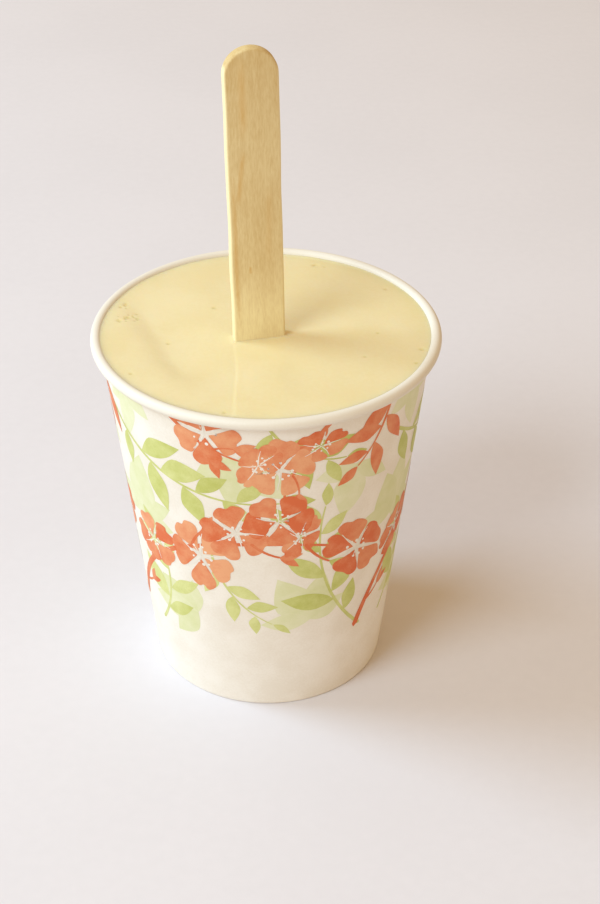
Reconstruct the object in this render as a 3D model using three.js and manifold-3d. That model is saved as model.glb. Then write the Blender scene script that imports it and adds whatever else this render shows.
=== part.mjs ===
// A small paper cup of frozen gelato with a flat wooden stick standing in it.
// Millimetres, +Z up. The origin is the centre of the cup's foot, on the table.
// The front is -Y, and the side seam of the paper is at the back, towards +Y.
import * as THREE from "three";
import { mergeVertices } from "three/addons/utils/BufferGeometryUtils.js";
import Module from "manifold-3d";

// Cup: one sheet of paper board, wound to a cone, with a rolled rim and a folded foot.
const CUP_HEIGHT = 72;
const FOOT_RADIUS = 22.5;
const RIM_RADIUS = 32.5;
const ROLL_RADIUS = 1.05;
const ROLL_END = -120;
const PAPER = 0.35;
const CLEARANCE = 0.05;
const SLOT = PAPER + 2 * CLEARANCE;
const HEM_HEIGHT = 5.8;
const FOOT_CORNER = 0.4;

// Side seam: one edge of the sheet laps over the other. Widths along the wall.
const SEAM_HALF_WIDTH = 2.8;
const SEAM_RAMP = 1.8;
const SEAM_EDGE = 0.2;
const SEAM_FADE_LOW = 0.8;
const SEAM_FADE_TOP = 1.2;

// Bottom: a paper disc, set up inside the foot, with its skirt held in the fold.
const DISC_TOP = 6.85;
const DISC_BEND = 0.7;
const SKIRT_END = 0.6;

// Gelato: filled to the rolled rim, and a little higher at the front and left.
const LEVEL = 71.58;
const LEVEL_RISE_X = -0.13;
const LEVEL_RISE_Y = -0.27;
const DOME = 0.2;
const VALLEY_DEPTH = 0.28;
const VALLEY_HALF_WIDTH = 3.2;
const VALLEY_ENDS = [[-21.5, 8], [-16.5, -12]];
const DIP_DEPTH = 0.12;
const DIP_RADIUS = 4.5;
const DIP_CENTRE = [5.5, -15];

// Wooden stick: flat, with round ends and softened edges.
const STICK_LENGTH = 114;
const STICK_WIDTH = 9.6;
const STICK_THICKNESS = 2.4;
const STICK_EDGE = 0.25;
const STICK_TURN = 12;
const STICK_LEAN = -0.0195;
const STICK_FOOT = [-1.35, -2.5, 71.75];
const STICK_TOP = 127.86;
const STICK_GAP = 0.1;

// Fineness of the round forms.
const TURN_STEPS = 72;
const ROLL_STEPS = 10;
const TOP_RINGS = 12;

const rad = THREE.MathUtils.degToRad;
const up = Math.PI / 2;

// The wall's slope is the tangent from the foot to the inside of the rolled rim.
const rollCentre = [RIM_RADIUS - ROLL_RADIUS, CUP_HEIGHT - ROLL_RADIUS];
const rollRise = Math.atan2(rollCentre[0] - FOOT_RADIUS, rollCentre[1]);
const rollReach = Math.hypot(rollCentre[0] - FOOT_RADIUS, rollCentre[1]);
const LEAN = rollRise - Math.asin((ROLL_RADIUS - PAPER) / rollReach);

// Radius at height z of the face that lies a given depth inside the wall's outer face.
function wallRadius(z, depth) {
  return FOOT_RADIUS + z * Math.tan(LEAN) - depth / Math.cos(LEAN);
}

function point(r, z) {
  return new THREE.Vector2(r, z);
}

// Points on an arc in the (radius, height) plane, angles in degrees.
function arc(centre, radius, from, to, steps) {
  const points = [];
  for (let i = 0; i <= steps; i += 1) {
    const angle = rad(from + ((to - from) * i) / steps);
    points.push(point(centre[0] + radius * Math.cos(angle), centre[1] + radius * Math.sin(angle)));
  }
  return points;
}

// Turns a profile about Z. A closed profile repeats its first point.
function turned(profile, steps = TURN_STEPS) {
  const geometry = new THREE.LatheGeometry(profile, steps);
  geometry.rotateX(up);
  return geometry;
}

function material(name, colour, roughness) {
  const result = new THREE.MeshStandardMaterial({ color: colour, roughness, metalness: 0 });
  result.name = name;
  return result;
}

function solid(name, geometry, surface) {
  const mesh = new THREE.Mesh(geometry, surface);
  mesh.name = name;
  return mesh;
}

// Section through the wall: hem, slot, inner face, rolled rim, outer face and fold.
function wallSection() {
  const hemDepth = 2 * PAPER + SLOT;
  const slotFloor = PAPER + SLOT / 2;
  const slotCentre = [wallRadius(slotFloor, PAPER + SLOT / 2), slotFloor];
  const start = 180 - THREE.MathUtils.radToDeg(LEAN);
  const inFold = [wallRadius(FOOT_CORNER, hemDepth) + FOOT_CORNER, FOOT_CORNER];
  const outFold = [wallRadius(FOOT_CORNER, 0) - FOOT_CORNER, FOOT_CORNER];
  const profile = [
    ...arc(inFold, FOOT_CORNER, 270, 180, 3),
    point(wallRadius(HEM_HEIGHT, hemDepth), HEM_HEIGHT),
    point(wallRadius(HEM_HEIGHT, PAPER + SLOT), HEM_HEIGHT),
    ...arc(slotCentre, SLOT / 2, 180, 360, 4),
    ...arc(rollCentre, ROLL_RADIUS, start, ROLL_END, ROLL_STEPS),
    ...arc(rollCentre, ROLL_RADIUS - PAPER, ROLL_END, start, ROLL_STEPS - 2),
    ...arc(outFold, FOOT_CORNER, 0, -90, 3),
  ];
  profile.push(profile[0].clone());
  return profile.reverse();
}

// Stations round the wall: even steps, with the seam's own lines at the back. Each is
// an angle in degrees and a distance along the wall from there, in millimetres.
function wallStations() {
  const stations = [];
  for (let angle = 100; angle <= 430; angle += 5) {
    stations.push({ angle, along: 0, raised: 0 });
  }
  stations.push({ angle: 436, along: 0, raised: 0 });
  stations.push({ angle: 450, along: -SEAM_HALF_WIDTH - SEAM_RAMP, raised: 0 });
  for (const part of [-1, -0.5, 0, 0.5, 1]) {
    stations.push({ angle: 450, along: part * SEAM_HALF_WIDTH, raised: 1 });
  }
  stations.push({ angle: 450, along: SEAM_HALF_WIDTH + SEAM_EDGE, raised: 0 });
  return stations;
}

// How much of the seam's height shows on the outer face at height z.
function seamFade(z) {
  const low = THREE.MathUtils.smoothstep(z, 0, SEAM_FADE_LOW);
  const edge = rollCentre[1] - ROLL_RADIUS;
  return low * (1 - THREE.MathUtils.smoothstep(z, edge - SEAM_FADE_TOP, edge));
}

function cupWall() {
  const section = wallSection();
  const stations = wallStations();
  const heights = [HEM_HEIGHT, SEAM_FADE_LOW, CUP_HEIGHT - 2 * ROLL_RADIUS - SEAM_FADE_TOP];
  const profile = [];
  section.forEach((p, i) => {
    profile.push(p);
    const next = section[i + 1];
    if (next === undefined || Math.abs(next.y - p.y) < CUP_HEIGHT / 2) {
      return;
    }
    // The long faces get a line at each height where the seam changes.
    const between = heights.filter((h) => (h - p.y) * (h - next.y) < 0);
    between.sort((a, b) => (next.y > p.y ? a - b : b - a));
    between.forEach((h) => profile.push(p.clone().lerp(next, (h - p.y) / (next.y - p.y))));
  });
  const geometry = turned(profile, stations.length);
  const position = geometry.attributes.position;
  for (let turn = 0; turn <= stations.length; turn += 1) {
    const station = stations[turn % stations.length];
    profile.forEach((p, i) => {
      const angle = rad(station.angle) + station.along / p.x;
      const outer = Math.abs(p.x - wallRadius(p.y, 0)) < CLEARANCE && p.y < rollCentre[1] - PAPER;
      const radius = p.x + (outer ? PAPER * station.raised * seamFade(p.y) : 0);
      const index = turn * profile.length + i;
      position.setXYZ(index, radius * Math.cos(angle), radius * Math.sin(angle), p.y);
    });
  }
  return geometry;
}

// Section through the bottom: the disc, its bend and its skirt.
function cupBottom() {
  const outer = (z) => wallRadius(z, PAPER + CLEARANCE);
  const bendZ = DISC_TOP - DISC_BEND;
  const bend = [outer(bendZ) - DISC_BEND, bendZ];
  return turned([
    point(0, DISC_TOP - PAPER),
    ...arc(bend, DISC_BEND - PAPER, 90, 0, 3),
    point(outer(SKIRT_END) - PAPER, SKIRT_END),
    point(outer(SKIRT_END), SKIRT_END),
    ...arc(bend, DISC_BEND, 0, 90, 3),
    point(0, DISC_TOP),
  ]);
}

// Distance from a point to the line between two ends.
function lineDistance(x, y, ends) {
  const [[ax, ay], [bx, by]] = ends;
  const run = [bx - ax, by - ay];
  const share = ((x - ax) * run[0] + (y - ay) * run[1]) / (run[0] ** 2 + run[1] ** 2);
  const t = THREE.MathUtils.clamp(share, 0, 1);
  return Math.hypot(x - ax - t * run[0], y - ay - t * run[1]);
}

// Height of the gelato's surface: a slope, a slight dome, a valley and a dip.
function surfaceHeight(x, y) {
  const edge = rollCentre[0];
  const slope = (LEVEL_RISE_X * x + LEVEL_RISE_Y * y) / edge;
  const dome = DOME * (1 - Math.min(1, (x * x + y * y) / (edge * edge)));
  const valley = VALLEY_DEPTH * Math.exp(-((lineDistance(x, y, VALLEY_ENDS) / VALLEY_HALF_WIDTH) ** 2));
  const away = Math.hypot(x - DIP_CENTRE[0], y - DIP_CENTRE[1]);
  const dip = DIP_DEPTH * Math.exp(-((away / DIP_RADIUS) ** 2));
  return LEVEL + slope + dome - valley - dip;
}

// The gelato's side follows the wall's inner face and the roll, up to its surface.
function gelatoBody() {
  const floor = DISC_TOP + CLEARANCE;
  const start = 180 - THREE.MathUtils.radToDeg(LEAN);
  const roll = ROLL_RADIUS + CLEARANCE;
  const rollSteps = 3;
  const profile = [point(0, floor), point(wallRadius(floor, PAPER + CLEARANCE) - DISC_BEND, floor)];
  profile.push(point(wallRadius(floor + DISC_BEND / 2, PAPER + CLEARANCE), floor + DISC_BEND / 2));
  const firstRoll = profile.length;
  profile.push(...arc(rollCentre, roll, start, 120, rollSteps));
  const firstTop = profile.length;
  for (let ring = 1; ring <= TOP_RINGS; ring += 1) {
    profile.push(point(RIM_RADIUS * (1 - ring / TOP_RINGS), LEVEL));
  }
  const geometry = turned(profile);
  const position = geometry.attributes.position;
  for (let turn = 0; turn <= TURN_STEPS; turn += 1) {
    const angle = (turn % TURN_STEPS) * rad(360 / TURN_STEPS);
    const c = Math.cos(angle);
    const s = Math.sin(angle);
    const rimRadius = wallRadius(rollCentre[1], PAPER + CLEARANCE);
    const rimHeight = surfaceHeight(rimRadius * c, rimRadius * s);
    const contact = 180 - THREE.MathUtils.radToDeg(Math.asin((rimHeight - rollCentre[1]) / roll));
    const climb = arc(rollCentre, roll, start, contact, rollSteps);
    const edge = climb[rollSteps];
    profile.forEach((p, i) => {
      let r = p.x;
      let z = p.y;
      if (i >= firstRoll && i < firstTop) {
        r = climb[i - firstRoll].x;
        z = climb[i - firstRoll].y;
      } else if (i >= firstTop) {
        r = edge.x * (1 - (i - firstTop + 1) / TOP_RINGS);
        z = surfaceHeight(r * c, r * s);
      }
      position.setXYZ(turn * profile.length + i, r * c, r * s, z);
    });
  }
  return geometry;
}

// The stick, or with extra > 0 the room it takes, placed where it stands.
function stickForm(extra) {
  const half = STICK_WIDTH / 2 + extra;
  const reach = STICK_LENGTH / 2 - STICK_WIDTH / 2;
  const inset = extra > 0 ? 0 : STICK_EDGE;
  const outline = new THREE.Shape();
  outline.absarc(0, reach, half - inset, 0, Math.PI, false);
  outline.absarc(0, -reach, half - inset, Math.PI, 2 * Math.PI, false);
  outline.closePath();
  const depth = STICK_THICKNESS + 2 * extra - 2 * inset;
  const geometry = new THREE.ExtrudeGeometry(outline, {
    depth,
    curveSegments: 16,
    bevelEnabled: inset > 0,
    bevelThickness: inset,
    bevelSize: inset,
    bevelSegments: 2,
  });
  geometry.translate(0, 0, -depth / 2);
  geometry.rotateX(up);
  geometry.rotateZ(rad(STICK_TURN));
  geometry.rotateY(Math.atan(STICK_LEAN));
  const middle = STICK_TOP - STICK_LENGTH / 2;
  geometry.translate(
    STICK_FOOT[0] + STICK_LEAN * (middle - STICK_FOOT[2]),
    STICK_FOOT[1],
    middle,
  );
  return geometry;
}

const wasm = await Module();
wasm.setup();

function toManifold(geometry) {
  const bare = new THREE.BufferGeometry();
  bare.setAttribute("position", geometry.attributes.position);
  bare.setIndex(geometry.index);
  const merged = mergeVertices(bare, 1e-4);
  const mesh = new wasm.Mesh({
    numProp: 3,
    vertProperties: new Float32Array(merged.attributes.position.array),
    triVerts: new Uint32Array(merged.index.array),
  });
  mesh.merge();
  return new wasm.Manifold(mesh);
}

function toGeometry(form) {
  const mesh = form.getMesh();
  const geometry = new THREE.BufferGeometry();
  geometry.setAttribute("position", new THREE.BufferAttribute(mesh.vertProperties, mesh.numProp));
  geometry.setIndex(new THREE.BufferAttribute(mesh.triVerts, 1));
  geometry.computeVertexNormals();
  return geometry;
}

const paper = material("paper", 0xefe6d6, 0.55);
const frozen = material("gelato", 0xf2e0a6, 0.35);
const wood = material("wood", 0xd9bd86, 0.75);

const gelato = toManifold(gelatoBody()).subtract(toManifold(stickForm(STICK_GAP)));

const group = new THREE.Group();
group.add(solid("cup_wall", cupWall(), paper));
group.add(solid("cup_bottom", cupBottom(), paper));
group.add(solid("gelato", toGeometry(gelato), frozen));
group.add(solid("stick", stickForm(0), wood));

export default group;
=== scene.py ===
"""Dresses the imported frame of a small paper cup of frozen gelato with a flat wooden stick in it.

The file is laid out as an add-on and is run as a script. Each operator makes the pieces that are
seen in place of the frame's solids, or the stage round them. Lengths are in metres. The printed
design, the gelato's hollows and the wood's streaks are given in millimetres and carry MM.
"""

import math
import random

import bmesh
import bpy
from mathutils import Matrix, Vector, noise


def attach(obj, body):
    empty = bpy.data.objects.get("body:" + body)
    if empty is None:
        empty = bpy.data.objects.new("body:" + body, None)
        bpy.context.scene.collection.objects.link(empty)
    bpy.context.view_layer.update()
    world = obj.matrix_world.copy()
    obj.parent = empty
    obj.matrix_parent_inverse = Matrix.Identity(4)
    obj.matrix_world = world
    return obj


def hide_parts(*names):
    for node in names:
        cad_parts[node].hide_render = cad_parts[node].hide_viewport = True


bl_info = {
    "name": "Gelato Cup",
    "version": (1, 0, 0),
    "blender": (4, 5, 0),
    "location": "View3D > Sidebar > Gelato Cup",
    "description": "A small printed paper cup of frozen gelato with a flat wooden stick",
    "category": "Add Mesh",
}

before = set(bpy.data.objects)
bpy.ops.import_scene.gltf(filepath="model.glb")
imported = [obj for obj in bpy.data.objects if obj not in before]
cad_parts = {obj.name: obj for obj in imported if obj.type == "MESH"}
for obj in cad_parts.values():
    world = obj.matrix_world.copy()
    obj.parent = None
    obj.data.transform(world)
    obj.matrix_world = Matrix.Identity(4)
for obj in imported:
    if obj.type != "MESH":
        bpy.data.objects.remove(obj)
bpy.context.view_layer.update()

MM = 0.001

# Fineness of the round forms. The gelato's rings are closer round the stick.
WALL_STEPS = 240
GELATO_STEPS = 480
RING_INNER = 0.00014
RING_OUTER = 0.00035
RING_CHANGE = 0.0090

# Heights of the rings between foot and rim, in the wall and in the gelato.
WALL_LEVELS = (0.018, 0.036, 0.054)
GELATO_LEVELS = (0.028, 0.05)

# Where the painted shade of the rolled rim comes in, from the roll's lower side.
RIM_SHADE_FADE = (-0.0002, 0.0006)

# The lap of the side seam: distance along the wall in mm, and how far it is raised, from 0 to 1.
SEAM_LINES = (
    (-4.6, 0.0),
    (-4.0, 0.22),
    (-3.4, 0.78),
    (-2.8, 1.0),
    (-1.9, 1.0),
    (-0.95, 1.0),
    (0.0, 1.0),
    (0.95, 1.0),
    (1.9, 1.0),
    (2.8, 1.0),
    (2.88, 0.0),
)

# The seam's place in degrees, the two places between which the wall's even lines leave room for
# it, and the shares of the way to it at which other lines stand. The lap fades out over the two
# heights at the foot and under the rim. Its free edge lies between line FREE_EDGE and the next.
SEAM_AT = 450
SEAM_FROM = 436
SEAM_TO = 460
LEAD_IN = (0.0, 0.45, 0.8)
LEAD_OUT = (0.5,)
SEAM_FADE = (0.8 * MM, 1.2 * MM)
FREE_EDGE = WALL_STEPS - 3

# Printed inks, in mm: how far each stands proud of the board, the step between shapes that
# overlap, the film's own thickness, how far the print is out of line across the lap, and the
# radius at which the wall is measured to find what overlaps. SHEET_REACH is how far round the
# cup a spray's sheet goes on each side, in radians.
INK_PROUD = {"pale": 0.012, "green": 0.026, "coral": 0.040, "cream": 0.058}
INK_STEP = 0.0015
INK_DEPTH = 0.005
LAP_SHIFT = 0.5
MIDDLE_RADIUS = 27
SHEET_REACH = 1.9

# The gelato's surface in mm: a valley with its half widths, a dip, and a side (in degrees) where
# it sinks beside the rim, with the strength of the painted shade that darkens that side.
VALLEY = ((-22.8, 6.5), (-21.3, 2.5), (-18.6, -3.8), (-17.0, -9.5), (-15.2, -13.0))
VALLEY_LEFT = 3.0
VALLEY_RIGHT = 8.5
VALLEY_DEPTH = 0.56
DIP_CENTRE = (5.5, -15.0)
DIP_RADIUS = 4.5
DIP_DEPTH = 0.12
SINK_AT = 45
SINK_DEPTH = 0.24
SINK_REACH = 1.9
SINK_SHADE = 1.4

# Low waves: height and span in mm, and where the noise is cut. Then how far the surface climbs
# the rim and the stick, and over what width.
WAVES = ((0.055, 7.5, 0.3), (0.012, 2.6, 4.1), (0.003, 0.9, 7.7))
RIM_CLIMB = 0.1
RIM_CLIMB_WIDTH = 0.5
STICK_CLIMB = 0.16
STICK_CLIMB_WIDTH = 0.35

# Where the surface may meet the roll, in degrees, before the true place is known, and the steps
# up to it.
CONTACT_GUESS = 130
CLIMB_STEPS = 5

# Small holes left by burst bubbles: the place and radius of each single one in mm, and a patch of
# them near the left edge, with its middle, half widths, count, radii and the seed of its draws.
PITS = (
    (-18.0, -4.0, 0.42),
    (9.7, 25.4, 0.75),
    (11.6, 24.8, 0.4),
    (23.0, 15.7, 0.5),
    (17.8, -10.0, 0.4),
    (28.3, -7.3, 0.6),
    (27.0, -12.2, 0.45),
    (-24.2, -15.5, 0.4),
    (-9.8, 8.4, 0.5),
    (-7.4, -28.6, 0.45),
    (20.6, -1.4, 0.4),
)
FROTH_CENTRE = (-25.9, 6.4)
FROTH_REACH = (2.4, 4.2)
FROTH_COUNT = 20
FROTH_SIZES = (0.2, 0.28, 0.36, 0.46, 0.62)
FROTH_SEED = 5

# A hole's depth, widths of depth and of painted shade, and reach, as shares of its radius.
# The mesh is finer within FINE_REACH radii and FINE_MARGIN mm of one.
PIT_DEPTH = 0.2
PIT_WIDTH = 0.75
PIT_SHADE_WIDTH = 0.9
PIT_REACH = 1.9
FINE_REACH = 1.8
FINE_MARGIN = 0.2

# The stick: where its centre line meets the gelato, the steps round each end and the cuts along
# it, and how its sides and its faces waver, as a height and a span in mm.
STICK_AT = (-0.00135, -0.0025, 0.07175)
STICK_END_STEPS = 28
STICK_CUTS = 56
SIDE_WAVER = (0.11, 9)
FACE_WAVER = (0.07, 22)

# How the wood darkens up the stick, in two rises, and the painted light that pales it past the
# edge of the flat face: from where to where, from the stick's middle, and the values before and
# after.
DARKENING = ((0.004, 0.019, -0.1, 0.36), (0.036, 0.058, 0.0, 0.22))
PAINTED_SIDE_LIGHT = (0.0043, 0.0047, 1.0, 0.1)

# Warm streaks in the wood: place across and up the stick, slant, half width and half length in mm,
# and how strong each is.
STREAKS = (
    ((-1.75, 48.0), 0.0, 1.1, 8.5, 0.75),
    ((-2.5, 33.4), 0.13, 0.7, 6.0, 0.8),
    ((-1.3, 15.3), 0.0, 0.4, 0.9, 1.0),
    ((2.2, 24.0), 0.04, 0.9, 9.0, 0.3),
    ((-3.85, 19.0), 0.0, 0.6, 17.0, 0.8),
)

# The stage: the floor's radius, the height that the lamps look at, and for each lamp its azimuth
# and rise in degrees, its distance and its size.
FLOOR_RADIUS = 1.5
LIT_HEIGHT = 0.06
KEY_PLACE = (170, 38, 1.2, 0.56)
SIDE_PLACE = (225, 40, 1.4, 0.7)


def linear(red, green, blue):
    """A colour written as 0 to 255, as the linear values that shaders take."""
    return tuple(
        c / 12.92 if c <= 0.04045 else ((c + 0.055) / 1.055) ** 2.4
        for c in (red / 255, green / 255, blue / 255)
    )


# --- What a user may change -------------------------------------------------------------------


def length(name, text, value):
    """A length in metres that the panel shows."""
    return bpy.props.FloatProperty(
        name=name, description=text, default=value, min=0.0, unit="LENGTH", precision=5
    )


def colour(name, text, value):
    """A colour that the panel shows, given as 0 to 255."""
    return bpy.props.FloatVectorProperty(
        name=name,
        description=text,
        default=linear(*value),
        size=3,
        min=0.0,
        max=1.0,
        subtype="COLOR",
    )


def turn(name, text, degrees):
    """An angle that the panel shows."""
    return bpy.props.FloatProperty(
        name=name, description=text, default=math.radians(degrees), subtype="ANGLE"
    )


def amount(name, text, value):
    """A plain number that the panel shows."""
    return bpy.props.FloatProperty(name=name, description=text, default=value, min=0.0)


class CupSizes(bpy.types.PropertyGroup):
    """The paper cup."""

    height: length("Height", "From the table to the top of the rolled rim", 0.071996)
    foot_radius: length("Foot radius", "Outer radius of the wall where it stands", 0.0225)
    rim_radius: length("Rim radius", "Outer radius of the rolled rim", 0.032498)
    roll_radius: length("Roll radius", "Outer radius of the rolled rim's own section", 0.00105)
    roll_end: turn("Roll end", "Where the rolled edge ends, seen in section", -120)
    paper: length("Paper", "Thickness of the paper board", 0.00035)
    clearance: length("Clearance", "Gap between parts that touch", 0.00005)
    hem_height: length("Hem height", "How far the wall is folded up inside the foot", 0.0058)
    foot_corner: length("Foot corner", "Rounding of the fold", 0.0004)
    disc_top: length("Disc top", "Height of the bottom disc's upper face", 0.00685)
    disc_bend: length("Disc bend", "Outer radius of the bend to the disc's skirt", 0.0007)
    skirt_end: length("Skirt end", "Height of the skirt's lower edge", 0.0006)
    light: colour("Paper colour", "Coated face of the board", (246, 240, 227))
    dark: colour("Paper shade", "Denser patches of the board's face", (238, 230, 214))
    # Painted shade: the rolled rim is given this darker colour.
    rolled: colour("Rim colour", "Where the board is stretched over the rim", (236, 229, 213))
    core: colour("Core colour", "Cut edge of the board", (224, 206, 174))


class PrintLook(bpy.types.PropertyGroup):
    """The printed sprays."""

    coral_deep: colour("Deep coral", "Blossoms and twigs, full ink", (221, 108, 56))
    coral_pale: colour("Pale coral", "Blossoms, thin ink", (238, 170, 122))
    green_deep: colour("Deep green", "Leaves, full ink", (192, 197, 101))
    green_pale: colour("Pale green", "Leaves, thin ink", (222, 224, 152))
    wash_deep: colour("Deep wash", "Broad leaves behind, full ink", (219, 222, 166))
    wash_pale: colour("Pale wash", "Broad leaves behind, thin ink", (234, 233, 196))
    seed: bpy.props.IntProperty(
        name="Seed", description="Start of the small differences", default=11
    )
    turned: turn("Turned", "Where the first spray stands, from the right-hand side", -106)
    top: length("Top", "Height where the print runs under the rolled rim", 0.0701)


class GelatoLook(bpy.types.PropertyGroup):
    """The frozen gelato."""

    level: length("Level", "Height of the surface in the middle, without its dome", 0.07158)
    rise_left: length("Rise to the left", "How much higher the left edge stands", 0.00013)
    rise_front: length("Rise to the front", "How much higher the front edge stands", 0.00027)
    dome: length("Dome", "How much higher the middle stands", 0.0002)
    light: colour("Colour", "Gelato", (240, 226, 180))
    dark: colour("Shade", "Slightly denser patches", (237, 221, 169))
    # Painted shade, in the small holes and on the side sunk beside the rim.
    pit_and_sink_shade: colour("Pits", "Inside the small holes of burst bubbles", (214, 196, 118))


class StickLook(bpy.types.PropertyGroup):
    """The flat wooden stick."""

    length: length("Length", "End to end", 0.114)
    width: length("Width", "Across the flat face", 0.0096)
    thickness: length("Thickness", "Through the flat face", 0.0024)
    edge: length("Edge", "Rounding of the long edges", 0.00045)
    top: length("Top", "Height of the upper end", 0.12785)
    turned: turn("Turned", "Turn about its own length", 12)
    lean: amount("Lean", "Sideways lean to the left, as a slope", 0.0195)
    light: colour("Wood", "Pale part of the grain", (247, 232, 182))
    dark: colour("Grain", "Darker part of the grain", (206, 174, 113))
    vein: colour("Vein", "The warm streaks in the grain", (216, 176, 106))


class StageLook(bpy.types.PropertyGroup):
    """Floor, light and camera."""

    floor: colour("Floor", "Colour of the floor", (228, 224, 226))
    camera_distance: length("Camera distance", "From the point that it looks at", 0.37)
    aim_height: length("Aim height", "Height that the camera looks at", 0.044293)
    camera_rise: turn("Camera rise", "How far the camera looks down", 33.816)
    camera_turn: turn("Camera turn", "How far the camera looks to the right", 1.173)
    camera_roll: turn("Camera roll", "Roll of the camera", 0.109)
    lens: bpy.props.FloatProperty(
        name="Lens", description="Focal length on a 36 mm tall frame", default=76.34, min=1.0
    )
    key: amount("Key light", "Power of the light from the back left, in watts", 10.0)
    key_tint: colour("Key tint", "Colour of the light from the back left", (197, 228, 255))
    side: amount("Side light", "Power of the light from the front left, in watts", 11.8)
    side_tint: colour("Side tint", "Colour of the light from the front left", (217, 239, 255))
    sky: amount("Sky", "Strength of the even light from all round", 0.6)
    sky_tint: colour("Sky tint", "Colour of the even light", (255, 219, 170))
    backdrop: colour("Backdrop", "What the camera sees beyond the floor", (222, 214, 208))


class GelatoCupSettings(bpy.types.PropertyGroup):
    """Everything that the panel shows."""

    cup: bpy.props.PointerProperty(type=CupSizes, name="Cup")
    print_look: bpy.props.PointerProperty(type=PrintLook, name="Print")
    gelato: bpy.props.PointerProperty(type=GelatoLook, name="Gelato")
    stick: bpy.props.PointerProperty(type=StickLook, name="Stick")
    stage: bpy.props.PointerProperty(type=StageLook, name="Stage")


def settings():
    return bpy.context.scene.gelato_cup


# --- Forms shared by the pieces -----------------------------------------------------------------


def arc(centre, radius, start, end, steps):
    """Points on an arc in the (radius, height) plane, with angles in degrees."""
    points = []
    for i in range(steps + 1):
        angle = math.radians(start + (end - start) * i / steps)
        points.append((centre[0] + radius * math.cos(angle), centre[1] + radius * math.sin(angle)))
    return points


def roll_centre():
    """Middle of the rolled rim's section, as a radius and a height."""
    cup = settings().cup
    return cup.rim_radius - cup.roll_radius, cup.height - cup.roll_radius


def wall_lean():
    """The wall's slope is the tangent from the foot to the inside of the rolled rim."""
    cup = settings().cup
    across, up = roll_centre()
    across -= cup.foot_radius
    inside = cup.roll_radius - cup.paper
    return math.atan2(across, up) - math.asin(inside / math.hypot(across, up))


def wall_radius(z, depth=0.0):
    """Radius at height z of the face that lies this deep inside the wall's outer face."""
    lean = wall_lean()
    return settings().cup.foot_radius + z * math.tan(lean) - depth / math.cos(lean)


def wall_stations():
    """The wall's upright lines: angle, distance along the wall from it, and the lap's rise."""
    even = WALL_STEPS - len(SEAM_LINES) - len(LEAD_IN) - len(LEAD_OUT)
    start = SEAM_TO - 360
    rows = [(start + (SEAM_FROM - start) * i / even, 0.0, 0.0) for i in range(even)]
    first, last = SEAM_LINES[0][0], SEAM_LINES[-1][0]
    rows += [(SEAM_FROM + (SEAM_AT - SEAM_FROM) * s, first * s, 0.0) for s in LEAD_IN]
    rows += [(SEAM_AT, along, raised) for along, raised in SEAM_LINES]
    rows += [(SEAM_TO + (SEAM_AT - SEAM_TO) * s, last * s, 0.0) for s in LEAD_OUT]
    return [(math.radians(angle), along * MM, raised) for angle, along, raised in rows]


def seam_fade(z):
    """How much of the lap's height shows at height z. It is pressed flat at the foot and rim."""
    low, high = SEAM_FADE
    top = roll_centre()[1] - settings().cup.roll_radius
    return max(0.0, min(1.0, z / low, (top - z) / high))


def wall_point(station, z):
    """A point of the wall's outer face."""
    angle, along, raised = station
    radius = wall_radius(z)
    angle += along / radius
    radius += settings().cup.paper * raised * seam_fade(z)
    return Vector((radius * math.cos(angle), radius * math.sin(angle), z))


def spun(profile, steps, closed):
    """Turns a profile about Z. The row layer keeps each point's place in the profile."""
    bm = bmesh.new()
    row = bm.verts.layers.int.new("row")
    verts = []
    for i, (r, z) in enumerate(profile):
        vert = bm.verts.new((r, 0.0, z))
        vert[row] = i
        verts.append(vert)
    edges = [bm.edges.new(pair) for pair in zip(verts, verts[1:])]
    if closed:
        edges.append(bm.edges.new((verts[-1], verts[0])))
    bmesh.ops.spin(
        bm,
        geom=verts + edges,
        cent=(0, 0, 0),
        axis=(0, 0, 1),
        angle=2 * math.pi,
        steps=steps,
        use_merge=True,
    )
    bmesh.ops.remove_doubles(bm, verts=bm.verts, dist=1e-8)
    bmesh.ops.recalc_face_normals(bm, faces=bm.faces)
    return bm, row


def cut_flat(bm, place, normal, **options):
    """Cuts everything in a bmesh with a plane."""
    everything = bm.verts[:] + bm.edges[:] + bm.faces[:]
    bmesh.ops.bisect_plane(
        bm, geom=everything, dist=1e-7, plane_co=place, plane_no=normal, **options
    )


def finished(bm, name, materials, sharp=35.0):
    """Turns a bmesh into a smooth-shaded piece that rides with the cup."""
    mesh = bpy.data.meshes.new(name)
    bm.to_mesh(mesh)
    bm.free()
    mesh.polygons.foreach_set("use_smooth", [True] * len(mesh.polygons))
    mesh.set_sharp_from_angle(angle=math.radians(sharp))
    for material in materials:
        mesh.materials.append(material)
    piece = bpy.data.objects.new(name, mesh)
    bpy.context.scene.collection.objects.link(piece)
    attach(piece, "root")
    return piece


# --- Finishes ---------------------------------------------------------------------------------


def node(tree, kind, inputs=None, **values):
    """Adds a node. inputs maps a socket's name or place to a value or to another socket."""
    made = tree.nodes.new(kind)
    for name, value in values.items():
        setattr(made, name, value)
    for name, value in (inputs or {}).items():
        socket = made.inputs[name]
        if isinstance(value, bpy.types.NodeSocket):
            tree.links.new(value, socket)
        else:
            socket.default_value = value
    return made


def blend(tree, share, first, second):
    """Mixes two colours and gives the mixed colour's socket."""
    inputs = {0: share, 6: first, 7: second}
    return node(tree, "ShaderNodeMix", inputs, data_type="RGBA").outputs[2]


def maths(tree, operation, *values, clamp=False):
    """One step of arithmetic, as a socket."""
    inputs = dict(enumerate(values))
    made = node(tree, "ShaderNodeMath", inputs, operation=operation, use_clamp=clamp)
    return made.outputs[0]


def stretched(tree, vector, *scale):
    """The vector with each part scaled, as a socket."""
    return node(tree, "ShaderNodeMapping", {"Vector": vector, "Scale": scale}).outputs[0]


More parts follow.
